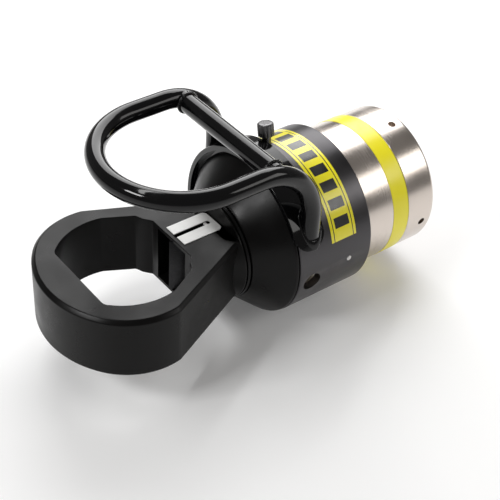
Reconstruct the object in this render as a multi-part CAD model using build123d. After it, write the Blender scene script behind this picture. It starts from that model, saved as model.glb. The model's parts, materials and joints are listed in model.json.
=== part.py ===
from build123d import *
import math
import os

# Hydraulic nut splitter, in millimetres.
# The origin is the mouth of the oil port, on the cylinder's axis. +X points out of the port,
# so the tool lies along -X. +Z is up through the handle, and the nut's axis is parallel to Z.

# Stations along the axis, as distances forward of the rear face
cap_length = 35.0
band_width = 20.4
piston_front = 80.0
collar_rear = 93.0
label_rear = 112.5
label_front = 142.5
saddle_rear = 154.5
handle_leg = 168.5
collar_front = 181.0
cone_rear = 184.5
saddle_front = 189.2
cone_front = 217.0
neck_front = 222.5
blade_rear = 228.0
opening_rear = 271.5
blade_edge = 274.0
opening_centre = 324.5
anvil_face = 371.5
nose = 405.0

# Head
head_half_thickness = 33.0
head_edge_chamfer = 5.0
nose_radius = 96.0
nose_half_angle = 38.0
flank_corner = (318.0, 84.3)
flank_angle = 24.8
opening_radius = 63.0
opening_side = 309.5
opening_shoulder = (281.0, 46.5)
opening_notch = (278.0, 39.0)
opening_rear_half_width = 31.0
anvil_corner_radius = 8.0
neck_radius = 52.0
neck_fillet = 12.0
neck_taper = 8.0
groove_depth = 1.6
groove_width = 1.8
shoulder_gap = 1.2
shoulder_radius = 82.0
shoulder_round = 4.0
spigot_radius = 62.0
spigot_length = 24.0

# Blade, its pocket and the pointer
blade_half_height = 29.0
blade_half_width = 22.0
blade_included_angle = 60.0
blade_screw_radius = 4.0
tang_radius = 14.0
tang_length = 26.0
pocket_gap = 0.3
stroke = 32.0
pointer_radius = 2.0
pointer_station = 233.0
pointer_depth = 8.0

# Depth scale
scale_rear = 223.5
scale_front = 267.0
scale_half_width = 15.0
scale_thickness = 0.8
slot_rear = 230.7
slot_front = 268.2
slot_half_width = 2.5

# Cylinder and end cap
barrel_radius = 73.0
bore_radius = 55.0
thread_length = 13.0
plug_length = 7.0
plug_gap = 0.05
cap_rim_radius = 6.0
ring_groove_depth = 3.6
cap_ring_width = 2.6
backup_width = 1.5
band_depth = 0.6
retainer_width = 2.4
retainer_depth = 2.0
retainer_height = 3.5
port_radius = 8.6
port_depth = 16.0
port_land = 9.0
oil_way_radius = 3.0
spanner_station = 14.0
spanner_hole_radius = 4.0
spanner_hole_depth = 9.0
first_spanner_angle = 10
cap_screw_angle = 325
cap_screw_radius = 3.0

# Piston, ram and their rings
piston_thickness = 22.0
ram_radius = 25.0
tail_radius = 18.0
running_gap = 0.05
ring_gap = 0.01
lip_groove_depth = 6.0
lip_groove_width = 6.5
wear_groove_depth = 2.5
wear_groove_width = 6.0
tail_groove_depth = 2.0
nut_radius = 27.0
nut_thickness = 5.5
bush_wall = 4.0
bush_front = 202.5
wiper_wall = 6.0
wiper_front = 210.5

# Return spring
spring_mean_radius = 40.0
spring_wire_radius = 4.0
spring_turns = 4

# Collar and its fittings
collar_radius = 82.5
collar_chamfer = 1.2
liner_wall = 2.0
label_depth = 0.5
label_height = 0.2
label_end_angle = 15.0
access_station = 164.0
access_angle = 193.0
access_hole_radius = 7.5
lock_screw_radius = 5.0
knob_station = 149.5
knob_angle = 78.0
knob_radius = 8.0
knob_neck_radius = 4.4
knob_screw_radius = 4.0
knob_pad_length = 2.3
knob_base = 93.0
knob_top = 106.5
nipple_station = 120.5
nipple_angle = 183.0
nipple_radius = 3.0

# Handle
saddle_radius = 91.2
saddle_lip_radius = 86.3
saddle_near_bottom = 31.0
saddle_near_corner = 17.3
saddle_far_bottom = -10.5
saddle_far_corner = 6.9
saddle_screw_station = 157.2
saddle_screw_angle = 150.0
saddle_screw_radius = 2.0
bar_radius = 9.5
handle_height = 128.5
handle_half_width = 74.5
handle_front = 338.0
handle_bend_start = 232.0
handle_foot = 30.0
crossbar_station = 210.0

BIG = 300.0
parts = {}


def at(station):
    """X of a point the given distance forward of the rear face."""
    return -station


def turned(*corners):
    """Solid of revolution about the X axis from (station, radius) corners."""
    face = make_face(Polyline(*[(at(s), r) for s, r in corners], close=True))
    return revolve(face, Axis.X, 360)


def rod(front, rear, radius):
    """Plain bar about the X axis between two stations."""
    return Pos(at((front + rear) / 2), 0, 0) * Rot(0, 90, 0) * Cylinder(radius, front - rear)


def ring(front, rear, outer, inner):
    """Plain tube about the X axis between two stations."""
    return rod(front, rear, outer) - rod(front + 1, rear - 1, inner)


def upright(station, low, high, radius):
    """Cylinder parallel to Z, over the X axis."""
    return Pos(at(station), 0, (low + high) / 2) * Cylinder(radius, high - low)


def pointing(shape, station, angle):
    """Turn a shape built along Z about the X axis, to an angle measured from +Y towards +Z."""
    return Pos(at(station), 0, 0) * Rot(angle - 90, 0, 0) * shape


def radial(station, angle, inner, outer, radius):
    """Cylinder that points away from the X axis."""
    return pointing(Pos(0, 0, (inner + outer) / 2) * Cylinder(radius, outer - inner), station, angle)


def rims_at(shape, station, least_radius=0.0):
    """Round edges of a turned shape at one station."""
    circles = shape.edges().filter_by(GeomType.CIRCLE)
    return [e for e in circles if abs(e.center().X - at(station)) < 0.1 and e.radius > least_radius]


def both_sides(angle):
    """The given angle and its mirror image across the XZ plane."""
    return angle, 180 - angle


def head_plate():
    """Flat body of the head: blunt round nose, full sides and straight flanks to the neck."""
    half = math.radians(nose_half_angle)
    join = (at(nose - nose_radius + nose_radius * math.cos(half)), nose_radius * math.sin(half))
    corner = (at(flank_corner[0]), flank_corner[1])
    rear_half = corner[1] - math.tan(math.radians(flank_angle)) * (flank_corner[0] - neck_front)
    tail = (at(neck_front), rear_half)
    stem = (at(cone_rear), rear_half)
    side = TangentArc(join, corner, tangent=(math.sin(half), math.cos(half))) + Polyline(corner, tail, stem)
    nose_arc = ThreePointArc(join, (at(nose), 0), (join[0], -join[1]))
    outline = side + nose_arc + mirror(side, Plane.XZ) + Line(stem, (stem[0], -stem[1]))
    face = make_face(outline)
    rim_height = head_half_thickness - head_edge_chamfer
    core = Pos(0, 0, -rim_height) * extrude(face, 2 * rim_height)
    smaller = offset(face, -head_edge_chamfer, kind=Kind.INTERSECTION)
    bevelled_top = loft([Pos(0, 0, rim_height) * face, Pos(0, 0, head_half_thickness) * smaller], ruled=True)
    return core + bevelled_top + mirror(bevelled_top, Plane.XY)


def nut_opening():
    """Through opening: flat anvil in front, round sides, and a rear wall square to the blade."""
    anvil_half = math.sqrt(opening_radius**2 - (anvil_face - opening_centre) ** 2)
    side_half = math.sqrt(opening_radius**2 - (opening_centre - opening_side) ** 2)
    anvil = (at(anvil_face), anvil_half)
    side = (at(opening_side), side_half)
    shoulder = (at(opening_shoulder[0]), opening_shoulder[1])
    notch = (at(opening_notch[0]), opening_notch[1])
    rear = (at(opening_rear), opening_rear_half_width)
    half = ThreePointArc(anvil, (at(opening_centre), opening_radius), side) + Polyline(side, shoulder, notch, rear)
    outline = half + mirror(half, Plane.XZ)
    outline += Line(anvil, (anvil[0], -anvil[1]))
    outline += Line(rear, (rear[0], -rear[1]))
    opening = Pos(0, 0, -BIG / 2) * extrude(make_face(outline), BIG)
    corners = opening.edges().filter_by(Axis.Z).group_by(Axis.X)[0]
    return fillet(corners, anvil_corner_radius)


def make_neck():
    """Turned rear of the head: neck, flared shoulder and the threaded spigot for the barrel."""
    spigot_end = collar_front - spigot_length
    land_radius = barrel_radius - 2
    neck = turned(
        (neck_front + neck_taper, 0),
        (neck_front + neck_taper, neck_radius - neck_taper),
        (neck_front, neck_radius),
        (cone_front, neck_radius),
        (cone_rear, shoulder_radius),
        (collar_front + shoulder_gap, shoulder_radius),
        (collar_front + shoulder_gap, land_radius),
        (collar_front, land_radius),
        (collar_front, spigot_radius),
        (spigot_end, spigot_radius),
        (spigot_end, 0),
    )
    neck = fillet(rims_at(neck, cone_front), neck_fillet)
    neck = fillet(rims_at(neck, cone_rear), shoulder_round)
    for side in (-1, 1):
        above = side * (head_half_thickness + BIG / 2)
        neck -= Pos(at(neck_front) - BIG / 2, 0, above) * Box(BIG, BIG, BIG)
    for station in (neck_front - 2, neck_front - 6):
        groove_rear = station - groove_width / 2
        neck -= ring(groove_rear + groove_width, groove_rear, shoulder_radius, neck_radius - groove_depth)
    return neck


def pointer_slot(front):
    """Slot through the top of the head, round at its rear end."""
    middle = (front + slot_rear) / 2
    slot = Pos(at(middle), 0, head_half_thickness) * Box(front - slot_rear, 2 * slot_half_width, 20)
    return slot + upright(slot_rear, head_half_thickness - 10, head_half_thickness + 10, slot_half_width)


def make_head():
    """The forging with the nut opening, the blade's pocket and the bore for the ram."""
    head = head_plate() + make_neck() - nut_opening()
    pocket_rear = blade_rear - pocket_gap
    pocket_front = opening_rear + 5
    pocket_size = (pocket_front - pocket_rear, 2 * (blade_half_width + pocket_gap), 2 * (blade_half_height + pocket_gap))
    head -= Pos(at((pocket_front + pocket_rear) / 2), 0, 0) * Box(*pocket_size)
    bore_rear = collar_front - spigot_length - 1
    head -= rod(blade_rear + stroke + 1, bore_rear, ram_radius + 0.6)
    head -= rod(bush_front + 0.5, bore_rear, ram_radius + bush_wall)
    head -= rod(wiper_front + 0.5, bush_front + 0.4, ram_radius + wiper_wall)
    return head - pointer_slot(slot_front)


def make_blade():
    """Wedge chisel with one upright edge and a round tang for the ram."""
    shoulder = blade_edge - blade_half_width / math.tan(math.radians(blade_included_angle / 2))
    side = Polyline((at(blade_edge), 0), (at(shoulder), blade_half_width), (at(blade_rear), blade_half_width))
    back = Line((at(blade_rear), blade_half_width), (at(blade_rear), -blade_half_width))
    outline = side + back + mirror(side, Plane.XZ)
    blade = Pos(0, 0, -blade_half_height) * extrude(make_face(outline), 2 * blade_half_height)
    blade += rod(blade_rear + 1, blade_rear - tang_length, tang_radius)
    blade -= upright(pointer_station, blade_half_height - pointer_depth, blade_half_height + 1, pointer_radius)
    screw_flat = Pos(at(blade_rear - tang_length / 2), 0, tang_radius + 1) * Box(12, 20, 6)
    return blade - screw_flat


def make_scale():
    """Thin U-shaped plate round the slot, open towards the nut."""
    middle = (scale_front + scale_rear) / 2
    height = head_half_thickness + scale_thickness / 2
    plate = Pos(at(middle), 0, height) * Box(scale_front - scale_rear, 2 * scale_half_width, scale_thickness)
    rear_corners = plate.edges().filter_by(Axis.Z).group_by(Axis.X)[-1]
    return fillet(rear_corners, 5) - pointer_slot(slot_front)


def make_pointer():
    """Slotted pin screwed into the blade, just under the top of the scale."""
    pin = upright(pointer_station, blade_half_height - pointer_depth, head_half_thickness, pointer_radius)
    return pin - Pos(at(pointer_station), 0, head_half_thickness) * Box(6, 0.6, 1.2)


def make_barrel():
    """Cylinder tube with a thread at each end and grooves for the band and the retaining ring."""
    barrel = ring(collar_front, cap_length + 0.2, barrel_radius, bore_radius)
    barrel -= rod(collar_front + 1, collar_front - spigot_length, spigot_radius)
    barrel -= rod(cap_length + thread_length, cap_length - 1, spigot_radius)
    outside = barrel_radius + 2
    barrel -= ring(cap_length + band_width, cap_length + 0.6, outside, barrel_radius - band_depth)
    retainer_front = collar_rear - 0.4
    barrel -= ring(retainer_front, retainer_front - retainer_width - 0.2, outside, barrel_radius - retainer_depth)
    for angle in both_sides(access_angle):
        barrel -= radial(access_station, angle, spigot_radius - 1, outside, lock_screw_radius)
    return barrel


def make_end_cap():
    """Screwed rear cap with a rounded rim, spanner holes, a ring groove and the oil port."""
    thread_front = cap_length + thread_length
    plug_front = thread_front + plug_length
    cap = turned(
        (plug_front, 0),
        (plug_front, bore_radius - plug_gap),
        (thread_front, bore_radius - plug_gap),
        (thread_front, spigot_radius),
        (cap_length, spigot_radius),
        (cap_length, barrel_radius),
        (0, barrel_radius),
        (0, 0),
    )
    cap = fillet(rims_at(cap, 0), cap_rim_radius)
    cap -= ring(cap_ring_front + 0.1, cap_ring_front - cap_ring_width - backup_width - 0.2, bore_radius + 1, ring_floor)
    for angle in range(first_spanner_angle, 360, 90):
        hole_floor = barrel_radius - spanner_hole_depth
        cap -= radial(spanner_station, angle, hole_floor, barrel_radius + 1, spanner_hole_radius)
    cap -= radial(cap_length - 7, cap_screw_angle, barrel_radius - 12, barrel_radius + 1, cap_screw_radius)
    cap -= rod(port_depth, -1, port_radius)
    cap -= rod(plug_front + 1, port_depth - 1, oil_way_radius)
    return cap - ring(1, -1, barrel_radius - 2 * cap_rim_radius, port_radius + port_land)


def make_ram():
    """Rod with a socket for the blade's tang and a threaded tail for the piston."""
    tail_end = piston_front - piston_thickness + 1
    socket_end = blade_rear - tang_length - 0.5
    ram = turned(
        (blade_rear, tang_radius + running_gap),
        (blade_rear, ram_radius - 1.5),
        (blade_rear - 1.5, ram_radius),
        (piston_front, ram_radius),
        (piston_front, tail_radius),
        (tail_end, tail_radius),
        (tail_end, 0),
        (socket_end, 0),
        (socket_end, tang_radius + running_gap),
    )
    ram -= upright(blade_rear - tang_length / 2, tang_radius - 4, ram_radius + 1, blade_screw_radius)
    return ram - ring(piston_front - 4, piston_front - 8, tail_radius + 1, tail_radius - tail_groove_depth)


def make_piston():
    """Piston with grooves for the lip seal, its backup ring and the wear ring."""
    outside = bore_radius + 1
    piston = ring(piston_front, piston_rear, bore_radius - running_gap, tail_radius)
    rims = rims_at(piston, piston_front, bore_radius - 1) + rims_at(piston, piston_rear, bore_radius - 1)
    piston = chamfer(rims, 1)
    piston -= ring(piston_rear + 2 + lip_groove_width, piston_rear + 2, outside, bore_radius - lip_groove_depth)
    wear_front = piston_front - 2.5
    piston -= ring(wear_front, wear_front - wear_groove_width, outside, bore_radius - wear_groove_depth)
    return piston - rod(piston_rear + nut_thickness + 0.5, piston_rear - 1, nut_radius + 0.2)


def make_lip_seal():
    """U-section seal that opens towards the oil."""
    outer = bore_radius - ring_gap
    inner = bore_radius - lip_groove_depth
    middle = (outer + inner) / 2
    rear = piston_rear + 2
    return turned(
        (rear + 4.6, inner),
        (rear + 4.6, outer),
        (rear, outer),
        (rear, outer - 1.4),
        (rear + 2.8, middle + 0.4),
        (rear + 2.8, middle - 0.4),
        (rear, inner + 1.4),
        (rear, inner),
    )


def make_piston_nut():
    """Slotted round nut on the ram's tail, sunk in the piston's rear face."""
    nut = ring(piston_rear + nut_thickness + 0.5, piston_rear + 0.5, nut_radius, tail_radius + 0.02)
    for angle in range(0, 360, 90):
        nut -= radial(piston_rear, angle, nut_radius - 4, nut_radius + 3, 2.5)
    return nut


def make_spring():
    """Open coil between the head's spigot and the piston."""
    front = collar_front - spigot_length - spring_wire_radius
    length = front - piston_front - spring_wire_radius
    helix = Helix(length / spring_turns, length, spring_mean_radius)
    start = Plane(origin=helix @ 0, z_dir=helix % 0)
    coil = sweep(start * Circle(spring_wire_radius), path=helix, is_frenet=True)
    return Pos(at(front), 0, 0) * Rot(0, 90, 0) * coil


def make_wiper():
    """Scraper ring with a lip that touches the ram."""
    back = wiper_front - 7.4
    return turned(
        (wiper_front, ram_radius + 0.08),
        (wiper_front - 2, ram_radius + 2.5),
        (wiper_front - 2, ram_radius + wiper_wall),
        (back, ram_radius + wiper_wall),
        (back, ram_radius + 0.6),
        (wiper_front - 4, ram_radius + 0.6),
    )


def make_collar():
    """Swivel collar with access holes to the head's lock screws and seats for its fittings."""
    inner = barrel_radius + liner_wall
    outside = collar_radius + 1
    collar = ring(collar_front, collar_rear, collar_radius, inner)
    rims = rims_at(collar, collar_front, inner + 1) + rims_at(collar, collar_rear, inner + 1)
    collar = chamfer(rims, collar_chamfer)
    for angle in both_sides(access_angle):
        collar -= radial(access_station, angle, barrel_radius, outside, access_hole_radius)
    collar -= radial(knob_station, knob_angle, barrel_radius, outside, knob_screw_radius)
    collar -= radial(nipple_station, nipple_angle, inner + 1, outside, nipple_radius)
    recess = ring(label_front + 0.2, label_rear - 0.2, outside, collar_radius - label_depth)
    collar -= recess & top_sector(label_end_angle - 0.5)
    for angle in both_sides(saddle_screw_angle):
        collar -= radial(saddle_screw_station, angle, collar_radius - 6, outside, saddle_screw_radius)
    return collar


def top_sector(end_angle):
    """Wedge of space over the collar, from one end angle over the top to the other."""
    angle = math.radians(end_angle)
    side = (BIG * math.cos(angle), BIG * math.sin(angle))
    sketch = make_face(Polyline((0, 0), side, (side[0], BIG), (-side[0], BIG), (-side[0], side[1]), close=True))
    return Pos(at(BIG), 0, 0) * extrude(Plane.YZ * sketch, BIG)


def make_liner():
    """Plastic bearing sleeve of the collar, cut through for the knob's pad and the keys."""
    liner = ring(collar_front - 1, collar_rear + 1, barrel_radius + liner_wall, barrel_radius + running_gap)
    for angle in both_sides(access_angle):
        liner -= radial(access_station, angle, barrel_radius - 1, collar_radius, access_hole_radius)
    return liner - radial(knob_station, knob_angle, barrel_radius - 1, collar_radius, knob_screw_radius)


def make_label():
    """Bare curved strip let into the collar."""
    strip = ring(label_front, label_rear, collar_radius + label_height, collar_radius - label_depth)
    return strip & top_sector(label_end_angle)


def saddle_end(bottom, corner):
    """Side view of one end of the saddle, with rounded lower corners."""
    front_edge = ((at(saddle_front), BIG), (at(saddle_front), bottom))
    rear_edge = ((at(saddle_rear), bottom), (at(saddle_rear), BIG))
    face = make_face(Polyline(*front_edge, *rear_edge, close=True))
    return Plane.XZ * fillet(face.vertices().sort_by(Axis.Y)[:2], corner)


def make_saddle():
    """Arched pad under the legs, which reaches lower on the far side and laps over the shoulder."""
    saddle = ring(saddle_front, saddle_rear, saddle_radius, collar_radius)
    saddle -= ring(saddle_front + 1, collar_front, saddle_lip_radius, collar_radius - 1)
    near_end = extrude(saddle_end(saddle_near_bottom, saddle_near_corner), BIG)
    far_end = extrude(saddle_end(saddle_far_bottom, saddle_far_corner), -BIG)
    saddle &= near_end + far_end
    rims = rims_at(saddle, saddle_front, saddle_radius - 0.1) + rims_at(saddle, saddle_rear, saddle_radius - 0.1)
    saddle = chamfer(rims, collar_chamfer)
    for angle in both_sides(saddle_screw_angle):
        saddle -= radial(saddle_screw_station, angle, collar_radius - 6, saddle_radius + 1, saddle_screw_radius)
    return saddle


def handle_path():
    """Centre line of the bent bar, from one leg's foot round the loop to the other."""
    bend = handle_bend_start - handle_leg
    leg_top = handle_height - bend
    diagonal = bend * math.sin(math.radians(45))
    arc_start = at(handle_front - handle_half_width)

    def side(y):
        leg = Line((at(handle_leg), y, handle_foot), (at(handle_leg), y, leg_top))
        middle = (at(handle_bend_start) + diagonal, y, leg_top + diagonal)
        turn = ThreePointArc((at(handle_leg), y, leg_top), middle, (at(handle_bend_start), y, handle_height))
        run = Line((at(handle_bend_start), y, handle_height), (arc_start, y, handle_height))
        return [leg, turn, run]

    ends = [(arc_start, y, handle_height) for y in (-handle_half_width, handle_half_width)]
    nose_arc = ThreePointArc(ends[0], (at(handle_front), 0, handle_height), ends[1])
    return Wire([*side(-handle_half_width), nose_arc, *reversed(side(handle_half_width))])


def make_handle():
    """Bent round bar whose feet are coped to the saddle and the collar."""
    path = handle_path()
    start = Plane(origin=path @ 0, z_dir=path % 0)
    bar = sweep(start * Circle(bar_radius), path=path, transition=Transition.TRANSFORMED)
    bar -= rod(saddle_front + 5, saddle_rear, saddle_radius)
    return bar - rod(collar_front, saddle_rear - 20, collar_radius)


def make_crossbar(loop):
    """Straight bar coped between the loop's two sides."""
    bend = handle_bend_start - handle_leg
    drop = bend - math.sqrt(bend**2 - (handle_bend_start - crossbar_station) ** 2)
    bar = Rot(90, 0, 0) * Cylinder(bar_radius, 2 * handle_half_width)
    placed = Pos(at(crossbar_station), 0, handle_height - drop) * bar
    return (placed - loop).solids().sort_by(SortBy.VOLUME)[-1]


def set_screw(length, radius, key_radius):
    """Set screw along Z with its hexagon socket in the top, at the origin."""
    body = Pos(0, 0, -length / 2) * Cylinder(radius, length)
    body = chamfer(body.edges().filter_by(GeomType.CIRCLE), radius * 0.12)
    return body - extrude(RegularPolygon(key_radius, 6), -length * 0.4)


def screw_pair(screw, height, station, angle):
    """One screw on each side, with its top at the given radius."""
    placed = Pos(0, 0, height) * screw
    return Compound(children=[pointing(placed, station, a) for a in both_sides(angle)])


def make_knob():
    """Fluted thumb knob with its clamping screw."""
    screw_foot = barrel_radius + 0.3 + knob_pad_length
    middle = (knob_base + knob_top) / 2
    grip = Pos(0, 0, middle) * Cylinder(knob_radius, knob_top - knob_base)
    grip = fillet(grip.edges().filter_by(GeomType.CIRCLE), 2)
    for turn in range(0, 360, 30):
        grip -= Rot(0, 0, turn) * Pos(knob_radius + 0.7, 0, middle) * Cylinder(1.3, BIG)
    screw = Pos(0, 0, (screw_foot + knob_base + 1) / 2) * Cylinder(knob_screw_radius - 0.05, knob_base + 1 - screw_foot)
    neck = Pos(0, 0, knob_base) * Cylinder(knob_neck_radius, 2)
    return pointing(screw + neck + grip, knob_station, knob_angle)


def make_nipple():
    """Flush grease nipple with a domed head."""
    stem = Pos(0, 0, collar_radius - 2.2) * Cylinder(nipple_radius, 4.2)
    dome = Pos(0, 0, collar_radius - 1.4) * Sphere(nipple_radius - 0.1)
    hole = Pos(0, 0, collar_radius + 1) * Cylinder(0.6, 3)
    return pointing(stem + dome - hole, nipple_station, nipple_angle)


def save(name, shape):
    """Write one node, keeping its solids together."""
    solids = shape.solids()
    whole = solids[0] if len(solids) == 1 else Compound(children=list(solids))
    whole.label = name
    export_step(whole, "parts/" + name + ".step")


os.makedirs("parts", exist_ok=True)

piston_rear = piston_front - piston_thickness
ring_floor = bore_radius - ring_groove_depth
cap_ring_front = cap_length + thread_length + 5.5
cap_backup_front = cap_ring_front - cap_ring_width - 0.1
lip_rear = piston_rear + 2

# Head and what it carries
parts["splitter_head"] = make_head()
parts["depth_scale"] = make_scale()
parts["guide_bush"] = ring(bush_front, collar_front - spigot_length + 2, ram_radius + bush_wall, ram_radius + running_gap)
parts["rod_wiper"] = make_wiper()
lock_screw = set_screw(barrel_radius - spigot_radius - 0.5, lock_screw_radius, 2.6)
parts["head_lock_screws"] = screw_pair(lock_screw, barrel_radius - 0.5, access_station, access_angle)

# Cylinder
parts["cylinder_barrel"] = make_barrel()
band_front = cap_length + band_width - 0.1
parts["yellow_band"] = ring(band_front, cap_length + 0.7, barrel_radius + 0.3, barrel_radius - band_depth)
retainer_front = collar_rear - 0.5
retainer_outer = barrel_radius + retainer_height
retainer_inner = barrel_radius - retainer_depth
parts["retaining_ring"] = ring(retainer_front, retainer_front - retainer_width, retainer_outer, retainer_inner)
parts["end_cap"] = make_end_cap()
ring_outer = bore_radius - ring_gap
parts["cap_seal"] = ring(cap_ring_front, cap_ring_front - cap_ring_width, ring_outer, ring_floor)
parts["cap_backup_ring"] = ring(cap_backup_front, cap_backup_front - backup_width, ring_outer, ring_floor)
cap_screw = Pos(0, 0, barrel_radius - 0.8) * set_screw(11, cap_screw_radius, 1.7)
parts["cap_lock_screw"] = pointing(cap_screw, cap_length - 7, cap_screw_angle)
parts["return_spring"] = make_spring()

# Blade and ram
parts["blade"] = make_blade()
parts["scale_pointer"] = make_pointer()
parts["ram"] = make_ram()
blade_screw = set_screw(9, blade_screw_radius, 2.2)
parts["blade_screw"] = Pos(at(blade_rear - tang_length / 2), 0, ram_radius - 1.5) * blade_screw
parts["ram_seal"] = ring(piston_front - 4.2, piston_front - 7.8, tail_radius, tail_radius - tail_groove_depth)
parts["piston"] = make_piston()
parts["piston_nut"] = make_piston_nut()
parts["piston_seal"] = make_lip_seal()
lip_floor = bore_radius - lip_groove_depth
parts["backup_ring"] = ring(lip_rear + 6.4, lip_rear + 4.8, bore_radius - 0.03, lip_floor)
wear_floor = bore_radius - wear_groove_depth
parts["piston_guide_ring"] = ring(piston_front - 2.7, piston_front - 8.3, bore_radius - 0.02, wear_floor)

# Swivel collar and handle
parts["swivel_collar"] = make_collar()
parts["collar_liner"] = make_liner()
parts["label_plate"] = make_label()
parts["grease_nipple"] = make_nipple()
parts["handle_saddle"] = make_saddle()
saddle_screw = set_screw(saddle_radius - collar_radius + 4, saddle_screw_radius, 1.2)
parts["saddle_screws"] = screw_pair(saddle_screw, saddle_radius - 0.6, saddle_screw_station, saddle_screw_angle)
parts["handle_loop"] = make_handle()
parts["handle_crossbar"] = make_crossbar(parts["handle_loop"])
parts["lock_knob"] = make_knob()
pad_foot = barrel_radius + 0.3
parts["lock_pad"] = radial(knob_station, knob_angle, pad_foot, pad_foot + knob_pad_length, knob_screw_radius - 0.3)

for name, shape in parts.items():
    save(name, shape)
    print(name)
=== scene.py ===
"""Hydraulic nut splitter: finished pieces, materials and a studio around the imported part.

Every length is in metres, in the part's own frame: the origin is the mouth of the oil port,
+X points out of it, the tool lies along -X and +Z is up through the handle.
"""

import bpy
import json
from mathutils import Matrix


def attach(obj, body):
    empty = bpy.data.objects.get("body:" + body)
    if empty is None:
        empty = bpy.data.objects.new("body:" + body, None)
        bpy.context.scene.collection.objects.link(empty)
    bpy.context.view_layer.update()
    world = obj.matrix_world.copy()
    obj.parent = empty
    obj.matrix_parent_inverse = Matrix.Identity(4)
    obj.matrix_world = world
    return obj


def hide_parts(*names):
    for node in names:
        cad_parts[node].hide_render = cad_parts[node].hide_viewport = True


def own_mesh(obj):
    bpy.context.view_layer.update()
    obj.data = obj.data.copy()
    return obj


bl_info = {
    "name": "Nut Splitter Studio",
    "version": (1, 0, 0),
    "blender": (4, 5, 0),
    "location": "View3D > Sidebar > Nut Splitter",
    "description": "Finishes the packed hydraulic nut splitter and sets it on a studio floor",
    "category": "Object",
}

import json
import math

import bmesh
import bpy
from mathutils import Matrix, Vector

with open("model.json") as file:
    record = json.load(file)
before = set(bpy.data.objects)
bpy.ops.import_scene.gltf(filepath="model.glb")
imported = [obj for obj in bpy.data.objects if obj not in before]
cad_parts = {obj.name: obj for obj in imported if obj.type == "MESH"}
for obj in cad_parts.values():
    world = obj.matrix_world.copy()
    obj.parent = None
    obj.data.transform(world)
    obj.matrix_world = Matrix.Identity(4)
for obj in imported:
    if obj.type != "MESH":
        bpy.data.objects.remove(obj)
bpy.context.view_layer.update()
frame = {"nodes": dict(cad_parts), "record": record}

MM = 0.001
TURN = 2 * math.pi


# Small tools for modelling by hand

def deselect_all():
    """Leave nothing selected in object mode."""
    if bpy.context.mode != "OBJECT":
        bpy.ops.object.mode_set(mode="OBJECT")
    bpy.ops.object.select_all(action="DESELECT")


def activate(piece):
    """Select one piece alone and make it active."""
    deselect_all()
    piece.select_set(True)
    bpy.context.view_layer.objects.active = piece


def edit(piece):
    """Open one piece in edit mode, with nothing in it selected."""
    activate(piece)
    bpy.ops.object.mode_set(mode="EDIT")
    bpy.ops.mesh.select_all(action="DESELECT")


def leave_edit():
    bpy.ops.object.mode_set(mode="OBJECT")


def pick(piece, kind, test):
    """Select the vertices, edges or faces whose middle passes the test, in edit mode."""
    bpy.ops.mesh.select_mode(type=kind)
    shape = bmesh.from_edit_mesh(piece.data)
    shape.normal_update()
    items = {"VERT": shape.verts, "EDGE": shape.edges, "FACE": shape.faces}[kind]
    for item in items:
        if kind == "VERT":
            middle = item.co
        elif kind == "EDGE":
            middle = (item.verts[0].co + item.verts[1].co) / 2
        else:
            middle = item.calc_center_median()
        if test(item, middle):
            item.select_set(True)
    shape.select_flush_mode()
    bmesh.update_edit_mesh(piece.data)


def spin(centre, axis, angle, steps):
    """Spin what is selected round the centre, by the right-hand rule about the axis."""
    bpy.ops.mesh.spin(steps=steps, angle=-angle, center=centre, axis=axis)


class Pen:
    """Draws a line in edit mode, point by point: straight runs are extruded, arcs are spun."""

    def __init__(self, name, start):
        deselect_all()
        bpy.ops.mesh.primitive_plane_add(size=MM, location=(0, 0, 0))
        self.piece = bpy.context.active_object
        self.piece.name = name
        bpy.ops.object.mode_set(mode="EDIT")
        bpy.ops.mesh.select_mode(type="VERT")
        bpy.ops.mesh.select_all(action="SELECT")
        bpy.ops.mesh.merge(type="CENTER")
        bpy.ops.transform.translate(value=start)
        self.at = Vector(start)

    def line(self, *points):
        """Straight runs to each point in turn."""
        for point in points:
            step = Vector(point) - self.at
            bpy.ops.mesh.extrude_vertices_move(TRANSFORM_OT_translate={"value": step})
            self.at = Vector(point)
        return self

    def arc(self, centre, axis, angle, steps):
        """Arc round the centre, by the right-hand rule about the axis."""
        spin(centre, axis, angle, steps)
        self.at = Matrix.Rotation(angle, 4, Vector(axis)) @ (self.at - Vector(centre)) + Vector(centre)
        return self

    def close(self):
        """Join the last point to the first and fill the outline."""
        bpy.ops.mesh.select_all(action="SELECT")
        bpy.ops.mesh.remove_doubles(threshold=0.01 * MM)
        bpy.ops.mesh.select_all(action="SELECT")
        bpy.ops.mesh.edge_face_add()
        return self

    def done(self):
        leave_edit()
        return self.piece


def mend(piece):
    """Merge doubles and turn every face outwards."""
    edit(piece)
    bpy.ops.mesh.select_all(action="SELECT")
    bpy.ops.mesh.remove_doubles(threshold=0.005 * MM)
    bpy.ops.mesh.select_all(action="SELECT")
    bpy.ops.mesh.normals_make_consistent(inside=False)
    leave_edit()
    return piece


def spun(name, corners, steps=160):
    """Turned piece about the X axis, from (x, radius) corners in millimetres.

    A third value on a corner rounds it to that radius.
    """
    points = rounded(corners)
    pen = Pen(name, (points[0][0] * MM, 0, points[0][1] * MM))
    pen.line(*[(x * MM, 0, r * MM) for x, r in points[1:]])
    pen.line((points[0][0] * MM, 0, points[0][1] * MM))
    bpy.ops.mesh.select_all(action="SELECT")
    bpy.ops.mesh.remove_doubles(threshold=0.001 * MM)
    bpy.ops.mesh.select_all(action="SELECT")
    bpy.ops.mesh.spin(steps=steps, angle=TURN, center=(0, 0, 0), axis=(1, 0, 0))
    pen.done()
    return mend(pen.piece)


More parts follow.
